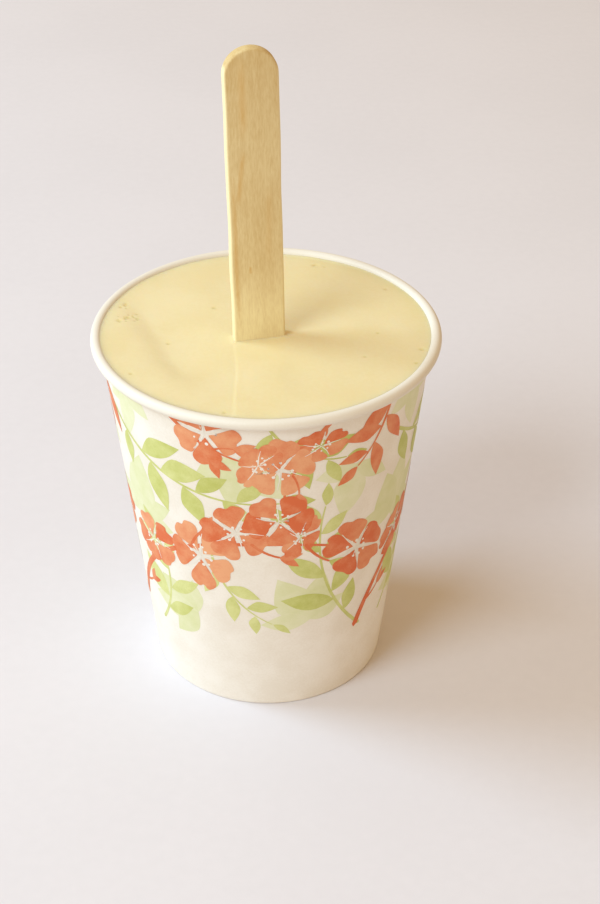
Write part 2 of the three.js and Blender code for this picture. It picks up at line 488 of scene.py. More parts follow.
def speckle(tree, vector, scale, detail=2.0, rough=0.5):
    """Soft noise from 0 to 1, as a socket."""
    inputs = {"Vector": vector, "Scale": scale, "Detail": detail, "Roughness": rough}
    return node(tree, "ShaderNodeTexNoise", inputs).outputs[0]


def ramp(tree, value, low, high, start=0.0, end=1.0):
    """Carries a value smoothly from one range to another and holds it there."""
    inputs = {"Value": value, "From Min": low, "From Max": high, "To Min": start, "To Max": end}
    return node(tree, "ShaderNodeMapRange", inputs, interpolation_type="SMOOTHSTEP").outputs[0]


def group_of(name, inputs, outputs, fill):
    """A shader node group, built once. fill takes its tree and inputs, and gives its outputs."""
    group = bpy.data.node_groups.get(name)
    if group is None:
        group = bpy.data.node_groups.new(name, "ShaderNodeTree")
        for label, kind, value in inputs:
            socket = group.interface.new_socket(
                label, in_out="INPUT", socket_type=f"NodeSocket{kind}"
            )
            if value is not None:
                socket.default_value = value
        for label, kind in outputs:
            group.interface.new_socket(label, in_out="OUTPUT", socket_type=f"NodeSocket{kind}")
        given = group.nodes.new("NodeGroupInput").outputs
        result = group.nodes.new("NodeGroupOutput").inputs
        for label, value in fill(group, given).items():
            group.links.new(value, result[label])
    return group


def placed(tree, group, values):
    """Places a node group in a material with its own values, and gives its outputs."""
    return node(tree, "ShaderNodeGroup", values, node_tree=group).outputs


def attribute(tree, name, output="Fac"):
    """A value kept in the mesh, as a socket."""
    return node(tree, "ShaderNodeAttribute", attribute_name=name).outputs[output]


def fill_mottle(tree, given):
    patch = speckle(tree, given["Vector"], given["Patch Scale"], 3.0)
    tooth = speckle(tree, given["Vector"], given["Tooth Scale"], 2.0)
    mixed = maths(tree, "MULTIPLY_ADD", patch, 0.7, maths(tree, "MULTIPLY", tooth, 0.3))
    mask = ramp(tree, mixed, 0.34, 0.66)
    tint = blend(tree, mask, given["Light"], given["Dark"])
    return {"Color": tint, "Mask": mask, "Tooth": tooth}


def mottle():
    """Uneven colour and fine tooth, used by most finishes."""
    inputs = (
        ("Vector", "Vector", None),
        ("Light", "Color", (1, 1, 1, 1)),
        ("Dark", "Color", (0.8, 0.8, 0.8, 1)),
        ("Patch Scale", "Float", 100.0),
        ("Tooth Scale", "Float", 2000.0),
    )
    outputs = (("Color", "Color"), ("Mask", "Float"), ("Tooth", "Float"))
    return group_of("mottle", inputs, outputs, fill_mottle)


def fill_wash(tree, given):
    cloud = speckle(tree, given["Vector"], given["Cloud Scale"], 3.0, 0.55)
    grain = speckle(tree, given["Vector"], given["Grain Scale"], 2.0)
    drift = maths(tree, "MULTIPLY_ADD", cloud, 1.6, -0.8)
    speck = maths(tree, "MULTIPLY_ADD", grain, 0.5, -0.25)
    tone = maths(tree, "ADD", maths(tree, "ADD", given["Tone"], drift), speck, clamp=True)
    return {"Color": blend(tree, tone, given["Deep"], given["Pale"]), "Tooth": grain}


def wash():
    """Watery ink that settles unevenly, from deep at tone 0 to pale at tone 1."""
    inputs = (
        ("Vector", "Vector", None),
        ("Tone", "Float", 0.5),
        ("Deep", "Color", (0, 0, 0, 1)),
        ("Pale", "Color", (1, 1, 1, 1)),
        ("Cloud Scale", "Float", 320.0),
        ("Grain Scale", "Float", 3200.0),
    )
    return group_of("wash", inputs, (("Color", "Color"), ("Tooth", "Float")), fill_wash)


def fill_grain(tree, given):
    place = given["Vector"]
    sway = speckle(tree, stretched(tree, place, 0.4, 0.4, 0.12), 160.0, 1.0)
    sway = maths(tree, "MULTIPLY", sway, 0.0016)
    aside = node(tree, "ShaderNodeCombineXYZ", {0: sway}).outputs[0]
    drawn = stretched(tree, place, 1.0, 1.0, 0.03)
    drawn = node(tree, "ShaderNodeVectorMath", {0: drawn, 1: aside}, operation="ADD").outputs[0]
    broad = speckle(tree, drawn, given["Broad Scale"], 2.0, 0.5)
    drawn = stretched(tree, place, 1.0, 1.0, 0.16)
    hatch = speckle(tree, drawn, given["Hatch Scale"], 3.0, 0.6)
    drawn = stretched(tree, place, 1.0, 1.0, 0.5)
    cloud = speckle(tree, drawn, given["Cloud Scale"], 3.0)
    both = maths(tree, "MULTIPLY_ADD", broad, 0.3, maths(tree, "MULTIPLY", hatch, 0.45))
    both = maths(tree, "MULTIPLY_ADD", cloud, 0.25, both)
    pores = ramp(tree, hatch, 0.68, 0.8)
    return {"Tone": ramp(tree, both, 0.3, 0.7), "Hatch": hatch, "Pores": pores}


def grain():
    """Grain of pale wood along the vector's Z: short hatching over faint streaks and clouds."""
    inputs = (
        ("Vector", "Vector", None),
        ("Broad Scale", "Float", 800.0),
        ("Hatch Scale", "Float", 3400.0),
        ("Cloud Scale", "Float", 420.0),
    )
    outputs = (("Tone", "Float"), ("Hatch", "Float"), ("Pores", "Float"))
    return group_of("grain", inputs, outputs, fill_grain)


def new_material(name):
    """A material and its empty tree. The tree is None where the material is there already."""
    material = bpy.data.materials.get(name)
    if material is not None:
        return material, None
    material = bpy.data.materials.new(name)
    material.use_nodes = True
    material.node_tree.nodes.clear()
    return material, material.node_tree


def surface(tree, inputs):
    """The Principled shader and the material's output."""
    shader = node(tree, "ShaderNodeBsdfPrincipled", inputs)
    node(tree, "ShaderNodeOutputMaterial", {"Surface": shader.outputs[0]})


def raised(tree, height, distance, strength, under=None):
    """A bump, as a normal socket."""
    inputs = {"Height": height, "Distance": distance, "Strength": strength}
    if under is not None:
        inputs["Normal"] = under
    return node(tree, "ShaderNodeBump", inputs).outputs[0]


def object_place(tree):
    """The piece's own coordinates, as a socket."""
    return node(tree, "ShaderNodeTexCoord").outputs["Object"]


def opaque(rgb, share=1.0):
    """A colour for a socket, darker where share is under 1."""
    return (*(share * c for c in rgb), 1.0)


def mottled(tree, light, dark, patch, tooth):
    """The mottle group on the object's own coordinates."""
    values = {"Vector": object_place(tree), "Light": light, "Dark": dark}
    return placed(tree, mottle(), {**values, "Patch Scale": patch, "Tooth Scale": tooth})


def paper_material():
    """Coated board, darkened by painted shade over the rolled rim."""
    cup = settings().cup
    material, tree = new_material("coated_paper")
    if tree:
        look = mottled(tree, opaque(cup.light), opaque(cup.dark), 140.0, 2600.0)
        height = node(tree, "ShaderNodeSeparateXYZ", {0: object_place(tree)}).outputs[2]
        roll = cup.height - 2 * cup.roll_radius
        # Painted shade over the rolled rim, a little uneven.
        rim_shade_share = ramp(tree, height, *(roll + off for off in RIM_SHADE_FADE))
        rim_shade_share = maths(tree, "MULTIPLY", rim_shade_share, ramp(tree, look["Tooth"], 0.2, 0.7, 0.75, 1.0))
        surface(
            tree,
            {
                "Base Color": blend(tree, rim_shade_share, look["Color"], opaque(cup.rolled)),
                "Roughness": ramp(tree, look["Mask"], 0.0, 1.0, 0.44, 0.56),
                "Specular IOR Level": 0.4,
                "Normal": raised(tree, look["Tooth"], 0.000012, 0.6),
            },
        )
    return material


def core_material():
    """The bare, fibrous cut edge of the board."""
    cup = settings().cup
    material, tree = new_material("board_core")
    if tree:
        look = mottled(tree, opaque(cup.core), opaque(cup.core, 0.8), 900.0, 6000.0)
        surface(
            tree,
            {
                "Base Color": look["Color"],
                "Roughness": ramp(tree, look["Mask"], 0.0, 1.0, 0.8, 0.92),
                "Normal": raised(tree, look["Tooth"], 0.00003, 0.8),
            },
        )
    return material


def ink_material(name, deep, pale):
    """Printed ink. Each shape's tone comes from its mesh."""
    material, tree = new_material(name)
    if tree:
        values = {
            "Vector": object_place(tree),
            "Tone": attribute(tree, "tone"),
            "Deep": opaque(deep),
            "Pale": opaque(pale),
        }
        look = placed(tree, wash(), values)
        surface(
            tree,
            {
                "Base Color": look["Color"],
                "Roughness": ramp(tree, look["Tooth"], 0.3, 0.7, 0.46, 0.58),
                "Specular IOR Level": 0.4,
                "Normal": raised(tree, look["Tooth"], 0.000008, 0.5),
            },
        )
    return material


def gelato_material():
    """Smooth, glossy gelato, with painted shade, darker and yellower, in the holes and where it
    has sunk.
    """
    gelato = settings().gelato
    material, tree = new_material("frozen_gelato")
    if tree:
        look = mottled(tree, opaque(gelato.light), opaque(gelato.dark), 70.0, 1400.0)
        # Painted shade: the holes and the sunk side blend towards the shade colour.
        painted_shade = maths(tree, "MULTIPLY", attribute(tree, "painted_shade"), 0.5)
        tint = blend(tree, painted_shade, look["Color"], opaque(gelato.pit_and_sink_shade))
        smear = speckle(tree, object_place(tree), 220.0, 2.0, 0.5)
        soft = raised(tree, smear, 0.00004, 0.15)
        surface(
            tree,
            {
                "Base Color": tint,
                "Roughness": ramp(tree, smear, 0.3, 0.7, 0.03, 0.07),
                "Specular IOR Level": 0.8,
                "Subsurface Weight": 0.35,
                "Subsurface Radius": (1.0, 0.75, 0.4),
                "Subsurface Scale": 0.0022,
                "Normal": raised(tree, look["Tooth"], 0.0000015, 0.5, soft),
            },
        )
    return material


def streak(tree, parts, middle, slant, half_width, reach):
    """A soft streak along the grain, as a mask. middle is its place across and up the stick."""
    up = maths(tree, "SUBTRACT", parts[2], middle[1])
    off = maths(tree, "SUBTRACT", parts[0], middle[0])
    off = maths(tree, "SUBTRACT", off, maths(tree, "MULTIPLY", up, slant))
    thin = ramp(tree, maths(tree, "ABSOLUTE", off), 0.0, half_width, 1.0, 0.0)
    ends = ramp(tree, maths(tree, "ABSOLUTE", up), 0.4 * reach, reach, 1.0, 0.0)
    return maths(tree, "MULTIPLY", thin, ends)


def wood_material():
    """Pale birch, browner up the stick, with warm streaks and painted light paling its sides."""
    stick = settings().stick
    material, tree = new_material("birch")
    if tree:
        place = attribute(tree, "grain_at", "Vector")
        look = placed(tree, grain(), {"Vector": place})
        parts = node(tree, "ShaderNodeSeparateXYZ", {0: place}).outputs
        darker_up = maths(tree, "ADD", *(ramp(tree, parts[2], *rise) for rise in DARKENING))
        tone = maths(tree, "MULTIPLY_ADD", look["Tone"], 0.45, darker_up)
        # Painted light: the sides past the flat face are paler.
        side = ramp(tree, maths(tree, "ABSOLUTE", parts[0]), *PAINTED_SIDE_LIGHT)
        tone = maths(tree, "MULTIPLY", tone, side)
        tint = blend(tree, tone, opaque(stick.light), opaque(stick.dark))
        for middle, slant, half_width, reach, share in STREAKS:
            middle = [c * MM for c in middle]
            mask = streak(tree, parts, middle, slant, half_width * MM, reach * MM)
            patchy = maths(tree, "MULTIPLY_ADD", look["Tone"], 0.5 * share, 0.5 * share)
            mask = maths(tree, "MULTIPLY", mask, patchy)
            tint = blend(tree, mask, tint, opaque(stick.vein))
        pitted = maths(tree, "MULTIPLY", look["Pores"], 0.22)
        holes = raised(tree, maths(tree, "SUBTRACT", 1.0, look["Pores"]), 0.00003, 0.5)
        surface(
            tree,
            {
                "Base Color": blend(tree, pitted, tint, opaque(stick.vein, 0.8)),
                "Roughness": ramp(tree, look["Hatch"], 0.3, 0.7, 0.58, 0.72),
                "Specular IOR Level": 0.35,
                "Normal": raised(tree, look["Hatch"], 0.00003, 0.5, holes),
            },
        )
    return material


def floor_material():
    """The pale, matt floor of the stage."""
    stage = settings().stage
    material, tree = new_material("stage_floor")
    if tree:
        look = mottled(tree, opaque(stage.floor), opaque(stage.floor, 0.97), 12.0, 400.0)
        surface(tree, {"Base Color": look["Color"], "Roughness": 0.8, "Specular IOR Level": 0.2})
    return material


# --- Cup --------------------------------------------------------------------------------------


def wall_section():
    """Section through the wall: hem, slot, inner face, rolled rim, outer face and fold.

    Gives the points, and where the hem's and the roll's cut edges start among them."""
    cup = settings().cup
    slot = cup.paper + 2 * cup.clearance
    hem = 2 * cup.paper + slot
    corner = cup.foot_corner
    floor = cup.paper + slot / 2
    start = 180 - math.degrees(wall_lean())
    end = math.degrees(cup.roll_end)
    centre = roll_centre()
    top = centre[1] - cup.roll_radius
    section = arc((wall_radius(corner, hem) + corner, corner), corner, 270, 180, 6)
    section += [(wall_radius(cup.hem_height, d), cup.hem_height) for d in (hem, cup.paper + slot)]
    hem_edge = len(section) - 2
    section += arc((wall_radius(floor, floor), floor), slot / 2, 180, 360, 8)
    section += [(wall_radius(z, cup.paper), z) for z in WALL_LEVELS]
    section += arc(centre, cup.roll_radius, start, end, 32)
    roll_edge = len(section) - 1
    section += arc(centre, cup.roll_radius - cup.paper, end, start, 26)
    heights = (top, top - SEAM_FADE[1], *reversed(WALL_LEVELS), SEAM_FADE[0])
    section += [(wall_radius(z), z) for z in heights]
    section += arc((wall_radius(corner) - corner, corner), corner, 0, -90, 6)
    return section, hem_edge, roll_edge


class MakeCupWall(bpy.types.Operator):
    """Winds, laps, folds and rolls the cup's wall from board"""

    bl_idname = "gelato_cup.make_wall"
    bl_label = "Cup wall"

    def execute(self, context):
        cup = settings().cup
        section, hem_edge, roll_edge = wall_section()
        stations = wall_stations()
        ceiling = roll_centre()[1] - cup.paper
        outer = {
            i
            for i, (r, z) in enumerate(section)
            if abs(r - wall_radius(z)) < 1e-6 and z < ceiling
        }
        bm, row = spun(section, WALL_STEPS, closed=True)
        column = bm.verts.layers.int.new("column")
        for vert in bm.verts:
            share = math.atan2(vert.co.y, vert.co.x) / (2 * math.pi)
            vert[column] = round(share * WALL_STEPS) % WALL_STEPS
            angle, along, rise = stations[vert[column]]
            r, z = section[vert[row]]
            angle += along / r
            r += cup.paper * rise * seam_fade(z) if vert[row] in outer else 0.0
            vert.co = (r * math.cos(angle), r * math.sin(angle), z)
        for face in bm.faces:
            rows = {v[row] for v in face.verts}
            columns = {v[column] for v in face.verts}
            cut = rows <= {hem_edge, hem_edge + 1} or rows <= {roll_edge, roll_edge + 1}
            if cut or (columns == {FREE_EDGE, FREE_EDGE + 1} and rows <= outer):
                face.material_index = 1
        bmesh.ops.recalc_face_normals(bm, faces=bm.faces)
        piece = finished(bm, "paper_wall", [paper_material(), core_material()])
        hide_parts("cup_wall")
        return {"FINISHED"}


class MakeCupBottom(bpy.types.Operator):
    """Presses the raised bottom disc with its skirt"""

    bl_idname = "gelato_cup.make_bottom"
    bl_label = "Cup bottom"

    def execute(self, context):
        cup = settings().cup

        def outer(z):
            return wall_radius(z, cup.paper + cup.clearance)

        low, end = cup.disc_top - cup.paper, cup.skirt_end
        bend_z = cup.disc_top - cup.disc_bend
        bend = (outer(bend_z) - cup.disc_bend, bend_z)
        profile = [(0.0, low), (0.4 * bend[0], low)]
        profile += arc(bend, cup.disc_bend - cup.paper, 90, 0, 8)
        profile += [(outer(end) - cup.paper, end), (outer(end), end)]
        profile += arc(bend, cup.disc_bend, 0, 90, 10)
        profile += [(0.4 * bend[0], cup.disc_top), (0.0, cup.disc_top)]
        bm, _ = spun(profile, WALL_STEPS // 2, closed=False)
        piece = finished(bm, "paper_bottom", [paper_material()])
        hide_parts("cup_bottom")
        return {"FINISHED"}


# --- Printed design, in mm: X runs across the flat sheet from an anchor, Y is height ------------


def curve_through(points, steps=6, closed=False):
    """A smooth line through the given points."""
    count = len(points)
    line = []
    for i in range(count if closed else count - 1):
        if closed:
            four = [points[(i + k) % count] for k in (-1, 0, 1, 2)]
        else:
            four = [points[min(max(i + k, 0), count - 1)] for k in (-1, 0, 1, 2)]
        for t in (step / steps for step in range(steps)):
            place = []
            for a, b, c, d in zip(*four):
                curve = (2 * a - 5 * b + 4 * c - d) * t**2 + (3 * b - a - 3 * c + d) * t**3
                place.append(0.5 * (2 * b + (c - a) * t + curve))
            line.append(tuple(place))
    if not closed:
        line.append(points[-1])
    return line


def turned_to(outline, at, heading, squash=1.0, slant=0.0):
    """Turns an outline, foreshortens it across the slant's direction, and moves it."""
    c, s = math.cos(slant), math.sin(slant)
    ct, st = math.cos(heading), math.sin(heading)
    result = []
    for x, y in outline:
        x, y = x * ct - y * st, x * st + y * ct
        u, v = x * c + y * s, (-x * s + y * c) * squash
        result.append((at[0] + u * c - v * s, at[1] + u * s + v * c))
    return result


def petal(length, width, dice):
    """A broad petal along X, with a slight notch at its end."""

    def near(spread):
        return dice.uniform(-spread, spread)

    sides = []
    for side in (1, -1):
        points = [(0.02, 0.05 * side), (0.28, 0.42 * side + near(0.06))]
        points += [(0.62, 0.92 * side + near(0.08)), (0.85, 0.86 * side + near(0.1))]
        points += [(0.99 + near(0.03), 0.42 * side + near(0.1))]
        sides.append(points)
    points = sides[0] + [(1.0 - dice.uniform(0.03, 0.12), near(0.12))] + sides[1][::-1]
    return curve_through([(x * length, y * width / 2) for x, y in points], 3, closed=True)


def leaf(length, width, bend, dice):
    """A pointed leaf along X."""
    full = dice.uniform(-0.08, 0.08), dice.uniform(-0.1, 0.1)
    up = [(0, 0), (0.16, 0.5), (0.42, 0.98 + full[0]), (0.7, 0.72), (1, 0)]
    down = [(1, 0), (0.7, -0.66), (0.42, -0.92 + full[1]), (0.16, -0.55), (0, 0)]
    line = []
    for side in (up, down):
        line += curve_through([(x * length, y * width / 2) for x, y in side], 3)[:-1]
    return [(x, y + bend * (x / length) ** 2 * length) for x, y in line]


def ribbon(line, start, end):
    """A stroke along a line that narrows from one width to another, with rounded ends."""
    count = len(line) - 1
    left, right = [], []
    for i, (x, y) in enumerate(line):
        (ax, ay), (bx, by) = line[max(i - 1, 0)], line[min(i + 1, count)]
        run = math.hypot(bx - ax, by - ay)
        half = (start + (end - start) * i / count) / 2
        dx, dy = (bx - ax) / run * half, (by - ay) / run * half
        if i == 0:
            left.append((x - dx, y - dy))
        left.append((x - dy, y + dx))
        right.append((x + dy, y - dx))
        if i == count:
            left.append((x + dx, y + dy))
    return left + right[::-1]


def dot(at, radius, sides=8):
    """A small round dot."""
    angles = [2 * math.pi / sides * i for i in range(sides)]
    return [(at[0] + radius * math.cos(a), at[1] + radius * math.sin(a)) for a in angles]


def growth(start, heading, bend, length, steps=16):
    """Points and headings along a stem whose heading, in degrees, turns evenly."""
    x, y = start
    rows = []
    for i in range(steps + 1):
        turned = math.radians(heading + bend * i / steps)
        rows.append((x, y, turned))
        x += math.cos(turned) * length / steps
        y += math.sin(turned) * length / steps
    return rows


def at_share(rows, share):
    """The row of a stem that lies at this share of its length."""
    return rows[round(share * (len(rows) - 1))]


class Sheet:
    """The shapes on the flat sheet, in the order in which they are printed."""

    def __init__(self, dice):
        self.dice = dice
        self.anchor = 0.0
        self.shapes = []

    def add(self, ink, tone, outline):
        """Puts a shape on the sheet, over those already there."""
        self.shapes.append((ink, min(1.0, max(0.0, tone)), outline, self.anchor))

    def blossom(self, at, size, squash, tone):
        """Five petals and a ring of pale stamens, seen from the front or at a slant."""
        dice = self.dice
        first, slant = dice.uniform(0, 2 * math.pi), dice.uniform(0, math.pi)
        for k in range(5):
            angle = first + 2 * math.pi * k / 5 + dice.uniform(-0.1, 0.1)
            shape = petal(size * dice.uniform(0.76, 0.93), size * dice.uniform(0.86, 1.0), dice)
            shape = [(x + 0.13 * size, y) for x, y in shape]
            shape = turned_to(shape, at, angle, squash, slant)
            self.add("coral", tone + dice.uniform(-0.32, 0.32), shape)
        for k in range(5):
            angle = first + 2 * math.pi * (k + 0.5) / 5
            shares = (0.1, 0.4, dice.uniform(0.62, 0.78))
            gap = [(size * share, 0.03 * size * math.sin(5 * share)) for share in shares]
            shape = ribbon(turned_to(gap, at, angle, squash, slant), 0.04 * size, 0.014 * size)
            self.add("cream", 0.5, shape)
        for k in range(9):
            angle = 2 * math.pi * (k + dice.uniform(-0.25, 0.25)) / 9
            end = turned_to([(size * dice.uniform(0.2, 0.34), 0)], at, angle, squash, slant)[0]
            self.add("cream", 0.5, dot(end, size * dice.uniform(0.03, 0.052)))
            if k % 3 == 0:
                self.add("cream", 0.5, ribbon([at, end], 0.03 * size, 0.018 * size))

    def bud(self, at, heading, size, tone):
        """A closed bud of two petals."""
        for side in (-1, 1):
            shape = leaf(size, size * 0.45, side * 0.12, self.dice)
            self.add("coral", tone + side * 0.1, turned_to(shape, at, heading + side * 0.25))

    def vine(self, start, heading, bend, length, width, leaves, size, tone, ink="green"):
        """A stem with leaves on both sides and one at its end."""
        dice = self.dice
        rows = growth(start, heading, bend, length)
        self.add(ink, tone, ribbon([(x, y) for x, y, _ in rows], width, width * 0.35))
        for k in range(leaves):
            share = 0.2 + 0.8 * k / (leaves - 1)
            x, y, turned = at_share(rows, share)
            side = 1 if k % 2 else -1
            spread = 0.0 if k == leaves - 1 else side * math.radians(dice.uniform(38, 62))
            grown = size * dice.uniform(0.8, 1.15)
            grown *= 0.75 + 0.5 * math.sin(math.pi * min(1, share + 0.1))
            across, curl = grown * dice.uniform(0.4, 0.52), -side * dice.uniform(0.0, 0.2)
            shape = leaf(grown, across, curl, dice)
            aim = turned + spread
            place = (x + 0.25 * math.cos(aim), y + 0.25 * math.sin(aim))
            self.add(ink, tone + dice.uniform(-0.25, 0.25), turned_to(shape, place, aim))

    def fan(self, at, heading, spread, count, size, tone):
        """Broad pale leaves that open from one point."""
        dice = self.dice
        for k in range(count):
            off = k / (count - 1) - 0.5
            turned = math.radians(heading + spread * off + dice.uniform(-6, 6))
            grown = size * (1.0 - 0.6 * abs(off)) * dice.uniform(0.9, 1.1)
            shape = leaf(grown, grown * dice.uniform(0.5, 0.64), dice.uniform(-0.15, 0.15), dice)
            self.add("pale", tone + dice.uniform(-0.2, 0.2), turned_to(shape, at, turned))

    def branch(self, start, heading, bend, length, width, parts):
        """A coral twig. Each part has a share of its length, side, reach, kind, size and tone."""
        dice = self.dice
        rows = growth(start, heading, bend, length, 24)
        self.add("coral", 0.12, ribbon([(x, y) for x, y, _ in rows], width, width * 0.3))
        for share, side, reach, kind, size, tone in parts:
            x, y, turned = at_share(rows, share)
            if reach > 0.5:
                twig = growth((x, y), math.degrees(turned) + side * 48, -side * 30, reach, 6)
                line = [(a, b) for a, b, _ in twig]
                self.add("coral", 0.15, ribbon(line, width * 0.45, width * 0.28))
                x, y, turned = twig[-1]
            if kind == "bud":
                self.bud((x, y), turned, size, tone)
            elif kind == "leaf":
                shape = leaf(size, size * 0.42, side * 0.1, dice)
                self.add("green", tone, turned_to(shape, (x, y), turned))
            else:
                squash = dice.uniform(0.72, 1.0) if kind == "open" else dice.uniform(0.45, 0.6)
                away = size * (0.5 if kind == "open" else 0.4)
                at = (x + math.cos(turned) * away, y + math.sin(turned) * away)
                self.blossom(at, size, squash, tone)


ARCH = (
    (0.1, -1, 4, "bud", 3.8, 0.3),
    (0.24, 1, 3, "open", 6.4, 0.3),
    (0.4, -1, 2.5, "open", 7.8, 0.7),
    (0.48, 1, 6, "bud", 4.2, 0.2),
    (0.57, 1, 2.5, "open", 7.2, 0.2),
    (0.72, -1, 6, "bud", 4.4, 0.4),
    (0.8, 1, 2, "side", 5.6, 0.45),
    (0.86, -1, 7, "leaf", 7, 0.3),
    (1.0, 0, 0.0, "open", 7.8, 0.3),
)
HANGING = (
    (0.25, 1, 2, "side", 5.8, 0.25),
    (0.4, -1, 5, "bud", 4.2, 0.3),
    (0.52, -1, 2.5, "open", 6.8, 0.65),
    (0.72, 1, 4.5, "bud", 4.2, 0.3),
    (1.0, 0, 0, "open", 6.6, 0.2),
)
SHORT = (
    (0.3, 1, 3, "open", 6.8, 0.3),
    (0.6, -1, 4, "bud", 4.4, 0.2),
    (0.7, 1, 4, "bud", 4.2, 0.4),
    (1.0, 0, 0, "side", 6.2, 0.6),
)


def printed_sheet():
    """Three sprays of blossom, leaf and twig round the cup, no two quite alike."""
    look = settings().print_look
    dice = random.Random(look.seed)
    sheet = Sheet(dice)
    for k in range(3):
        sheet.anchor = look.turned + math.radians(120 * k + dice.uniform(-3, 3))
        up = dice.uniform(-1.5, 1.5)
        # A fan has its place, heading, spread, count, size and tone. A vine has its start,
        # heading, bend, length, width, leaves, their size and tone.
        sheet.fan((-21, 40 + up), 75, 160, 5, 14, 0.4)
        sheet.fan((3, 62 + up), -75, 150, 4, 13, 0.5)
        sheet.fan((15, 22 + up), 100, 140, 4, 13, 0.5)
        sheet.fan((-7, 22), 170, 130, 4, 12, 0.4)
        sheet.fan((-22, 70), -80, 120, 3, 11, 0.6)
        sheet.fan((25, 58 + up), -100, 120, 3, 12, 0.5)
        sheet.vine((-29, 64 + up), -38, 45, 42, 0.8, 10, 7.8, 0.35)
        sheet.vine((26, 16 + up), 128, -55, 36, 0.8, 9, 7.6, 0.45)
        sheet.vine((-17, 15 + up), 60, 60, 24, 0.7, 7, 7.4, 0.6)
        sheet.vine((8, 72), -70, 70, 20, 0.7, 6, 6.8, 0.2)
        sheet.vine((-3, 38 + up), -80, 50, 20, 0.6, 6, 6.2, 0.7)
        sheet.branch((-25, 16 + up), 76, -104, 60, 1.5, ARCH)
        sheet.branch((24, 73), -142, 42, 26, 1.1, HANGING)
        sheet.branch((-13, 73), -50, 36, 21, 1.0, SHORT)
        sheet.vine((34, 73), -100, -40, 18, 0.8, 6, 7.4, 0.3, "coral")
    return sheet.shapes


class WallMap:
    """Carries shapes from the flat sheet to the wall, so that they lie on its own facets."""

    def __init__(self, anchor):
        self.slope = math.tan(wall_lean())
        self.foot = settings().cup.foot_radius
        self.lines = []
        for around in (-2, -1, 0, 1):
            for i, station in enumerate(wall_stations()):
                off = station[0] + 2 * math.pi * around - anchor
                if abs(off) < SHEET_REACH:
                    self.lines.append((off, station[1], i, station))
        self.free = [line for line in self.lines if line[2] == FREE_EDGE]

    def across(self, line, z):
        """Where a station's line is on the flat sheet, at height z."""
        return line[0] * (self.foot + z * self.slope) + line[1]

    def near(self, xs, zs):
        """The lines that reach a box on the sheet, with one more on each side."""
        spans = [[self.across(line, z) for z in zs] for line in self.lines]
        first = max(k for k, span in enumerate(spans) if max(span) <= xs[0])
        last = min(k for k, span in enumerate(spans) if min(span) >= xs[1])
        return self.lines[first : last + 1]

    def between(self, lines, x, z):
        """The two lines that x lies between, and its share of the way from one to the other."""
        for a, b in zip(lines, lines[1:]):
            end = self.across(b, z)
            if x <= end:
                start = self.across(a, z)
                return a, b, (x - start) / (end - start)
        return a, b, 1.0

    def beyond_lap(self, x, z):
        """True if the free edge of the board lies between the anchor and this point."""
        middle = 0.5 * (SEAM_LINES[-1][0] - SEAM_LINES[-2][0]) * MM
        edges = [self.across(line, z) + middle for line in self.free]
        return any(x > edge > 0 or x < edge < 0 for edge in edges)

    def place(self, lines, x, z, proud):
        """The point of the sheet at x and z, on the wall and this far proud of it."""
        a, b, share = self.between(lines, x, z)
        if self.beyond_lap(x, z):
            z -= LAP_SHIFT * MM
        point = wall_point(a[3], z).lerp(wall_point(b[3], z), share)
        outward = Vector((point.x, point.y, 0.0)).normalized() - Vector((0, 0, self.slope))
        return point + outward.normalized() * proud


def film(outline, tone, wall, top, proud):
    """A shape as a thin closed film on the wall, or None where none of it shows."""
    bm = bmesh.new()
    verts = [bm.verts.new((x * MM, y * MM, 0.0)) for x, y in outline]
    edges = [bm.edges.new(pair) for pair in zip(verts, verts[1:] + verts[:1])]
    bmesh.ops.triangle_fill(bm, use_beauty=True, edges=edges)
    if max(v.co.y for v in verts) > top:
        cut_flat(bm, (0, top, 0), (0, 1, 0), clear_outer=True)
    if not bm.faces:
        bm.free()
        return None
    xs = [min(v.co.x for v in bm.verts), max(v.co.x for v in bm.verts)]
    zs = [min(v.co.y for v in bm.verts), max(v.co.y for v in bm.verts)]
    lines = wall.near(xs, zs)
    for line in lines[1:-1]:
        cut_flat(bm, (wall.across(line, 0.0), 0, 0), (1, -line[0] * wall.slope, 0))
    dropped = []
    for face in bm.faces:
        centre = face.calc_center_median()
        if wall.between(lines, centre.x, centre.y)[0][2] == FREE_EDGE:
            dropped.append(face)
    bmesh.ops.delete(bm, geom=dropped, context="FACES")
    tones = bm.verts.layers.float.new("tone")
    for vert in bm.verts:
        vert[tones] = tone
        vert.co = wall.place(lines, vert.co.x, vert.co.y, proud)
    bmesh.ops.recalc_face_normals(bm, faces=bm.faces)
    inward = [f for f in bm.faces if f.normal.dot(f.calc_center_median()) < 0]
    bmesh.ops.reverse_faces(bm, faces=inward)
    bmesh.ops.solidify(bm, geom=bm.faces[:], thickness=INK_DEPTH * MM)
    part = bpy.data.meshes.new("part")
    bm.to_mesh(part)
    bm.free()
    return part


